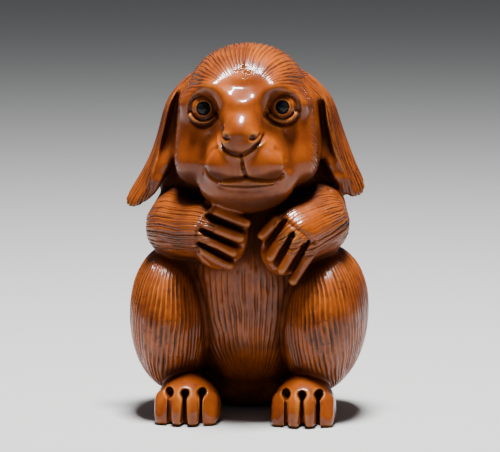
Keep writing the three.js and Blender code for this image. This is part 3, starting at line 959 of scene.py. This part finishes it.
def boxwood():
    """Old polished boxwood, stained dark in its cuts and worn pale on its edges, with painted shade in its recesses
    and undersides.
    """
    n = Nodes("stained_boxwood")
    place = n.add("ShaderNodeTexCoord", output="Object")
    fur, close, broad_shade, relief = (n.told(name) for name in ("fur", "close", "broad_shade", "relief"))
    hair = n.told("hair", "Vector")
    strand, along, split = (n.add("ShaderNodeSeparateXYZ", {0: hair}, output=axis) for axis in "XYZ")

    whole = cut_strands(n, strand, along)
    halved = cut_strands(n, n.math("MULTIPLY", strand, 2.0), along)
    groove = n.math("MULTIPLY", whole, n.ramp(split, 0.0, 1.0, 1.0, 0.0))
    groove = n.math("MULTIPLY", n.math("ADD", groove, n.math("MULTIPLY", halved, split)), fur)
    ticks = n.noise(n.vector(n.math("MULTIPLY", strand, 0.9), n.math("MULTIPLY", along, 1.6), 3.0), 1.0, 2.0)
    patch = n.ramp(n.noise(place, 0.16 / MM, 3.0), 0.4, 0.62)

    grain = n.noise(n.scaled(place, (0.9 / MM, 0.9 / MM, 0.1 / MM)), 1.0, 3.0, 0.6)
    cloud = n.noise(place, 0.22 / MM, 4.0, 0.55)
    wood = n.mix(n.ramp(cloud, 0.35, 0.7), AMBER_WOOD, RUSSET_WOOD)
    wood = n.mix(n.ramp(grain, 0.45, 0.75, 0.0, 0.35), wood, DARK_GRAIN)
    wood = n.mix(n.ramp(relief, 0.02, 0.12, 0.0, 0.6), wood, WORN_WOOD)
    strength = n.math("ADD", n.math("ADD", 0.25, n.math("MULTIPLY", split, 0.3)), n.math("MULTIPLY", patch, 0.65))
    stain_and_shade = n.math("MULTIPLY", groove, strength)
    specks = n.math("MULTIPLY", n.ramp(ticks, 0.55, 0.68), n.math("MULTIPLY", fur, n.math("MULTIPLY", patch, 0.6)))
    cuts = n.ramp(relief, -0.02, -0.11, 0.0, 0.75)
    # The recess values darken the colour too: painted shade, with some stain in the tight cuts.
    for more in (specks, cuts, n.math("MULTIPLY", close, 0.85), n.math("MULTIPLY", broad_shade, 0.85)):
        stain_and_shade = n.math("MAXIMUM", stain_and_shade, more)
    matt = n.math("ADD", stain_and_shade, n.math("MULTIPLY", fur, 0.2))
    n.feed(n.shader.inputs["Base Color"], n.mix(stain_and_shade, wood, STAIN_AND_SHADE))
    n.feed(n.shader.inputs["Roughness"], n.ramp(matt, 0.0, 1.0, 0.38, 0.55))
    n.feed(n.shader.inputs["Specular IOR Level"], 0.08)
    # The polish: handling wears it on, and it never reaches the recesses.
    n.feed(n.shader.inputs["Coat Weight"], n.ramp(n.math("MAXIMUM", broad_shade, close), 0.2, 0.75, 0.8, 0.03))
    n.feed(n.shader.inputs["Coat IOR"], 1.4)
    n.feed(n.shader.inputs["Coat Roughness"], n.ramp(fur, 0.0, 1.0, 0.09, 0.13))

    ripple = n.math("MULTIPLY", n.math("SUBTRACT", ticks, 0.5), n.math("MULTIPLY", fur, 0.06))
    height = n.math("SUBTRACT", ripple, groove)
    height = n.math("ADD", height, n.math("MULTIPLY", n.noise(place, 0.9 / MM, 2.0), 0.12))
    bumps = n.add("ShaderNodeBump", {"Height": height, "Strength": 0.8, "Distance": 0.12 * MM}, output="Normal")
    n.feed(n.shader.inputs["Normal"], bumps)
    n.feed(n.shader.inputs["Coat Normal"], bumps)
    return n.material


def black_horn():
    """The polished black of the eye beads."""
    n = Nodes("black_horn")
    n.feed(n.shader.inputs["Base Color"], (0.006, 0.007, 0.008, 1))
    n.feed(n.shader.inputs["Roughness"], 0.08)
    n.feed(n.shader.inputs["Specular IOR Level"], 0.15)
    return n.material


def plain(name, rgb, rough):
    """One even colour."""
    n = Nodes(name)
    n.feed(n.shader.inputs["Base Color"], (*rgb, 1))
    n.feed(n.shader.inputs["Roughness"], rough)
    return n.material


# ---- The netsuke ---------------------------------------------------------------------------------------------------

figure = carved_puppy()
figure.data.materials.clear()
figure.data.materials.append(boxwood())
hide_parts("figure")

horn = black_horn()
for side in SIDES:
    bead = eye_bead(side)
    bead.data.materials.append(horn)
    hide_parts(f"{side}_eye_bead")

# ---- Camera, floor and light ---------------------------------------------------------------------------------------

AIM_HEIGHT = 25.1
CAMERA_TURN = math.radians(5)
CAMERA_RISE = math.radians(7)
CAMERA_AWAY = 0.45
LAMP_AT = (0.008, -0.022, 0.36)
LAMP_SIZE = (0.09, 0.075)
LAMP_POWER = 5.5
PALE_CARD = (0.46, 0.46, 0.455)
SKY = (0.8, 0.83, 0.88, 1)
SKY_STRENGTH = 0.14

aim = Vector(STAND + (0, 0, AIM_HEIGHT)) * MM
away = Vector((math.sin(CAMERA_TURN), -math.cos(CAMERA_TURN), math.tan(CAMERA_RISE))).normalized()
camera = bpy.data.objects.new("camera", bpy.data.cameras.new("camera"))
bpy.context.scene.collection.objects.link(camera)
camera.location = aim + away * CAMERA_AWAY
camera.rotation_euler = (-away).to_track_quat("-Z", "Y").to_euler()
camera.data.sensor_width = 36
camera.data.lens = 240
camera.data.clip_start = 0.01
bpy.context.scene.camera = camera

bpy.ops.mesh.primitive_plane_add(size=3)
floor = bpy.context.object
floor.name = "floor"
floor.data.materials.append(plain("pale_card", PALE_CARD, 0.7))

world = bpy.data.worlds.new("studio")
world.use_nodes = True
world.node_tree.nodes["Background"].inputs["Color"].default_value = SKY
world.node_tree.nodes["Background"].inputs["Strength"].default_value = SKY_STRENGTH
bpy.context.scene.world = world

softbox = bpy.data.lights.new("overhead", "AREA")
softbox.shape = "RECTANGLE"
softbox.size, softbox.size_y = LAMP_SIZE
softbox.energy = LAMP_POWER
lamp = bpy.data.objects.new("overhead", softbox)
bpy.context.scene.collection.objects.link(lamp)
lamp.location = LAMP_AT
lamp.rotation_euler = (aim - lamp.location).to_track_quat("-Z", "Y").to_euler()
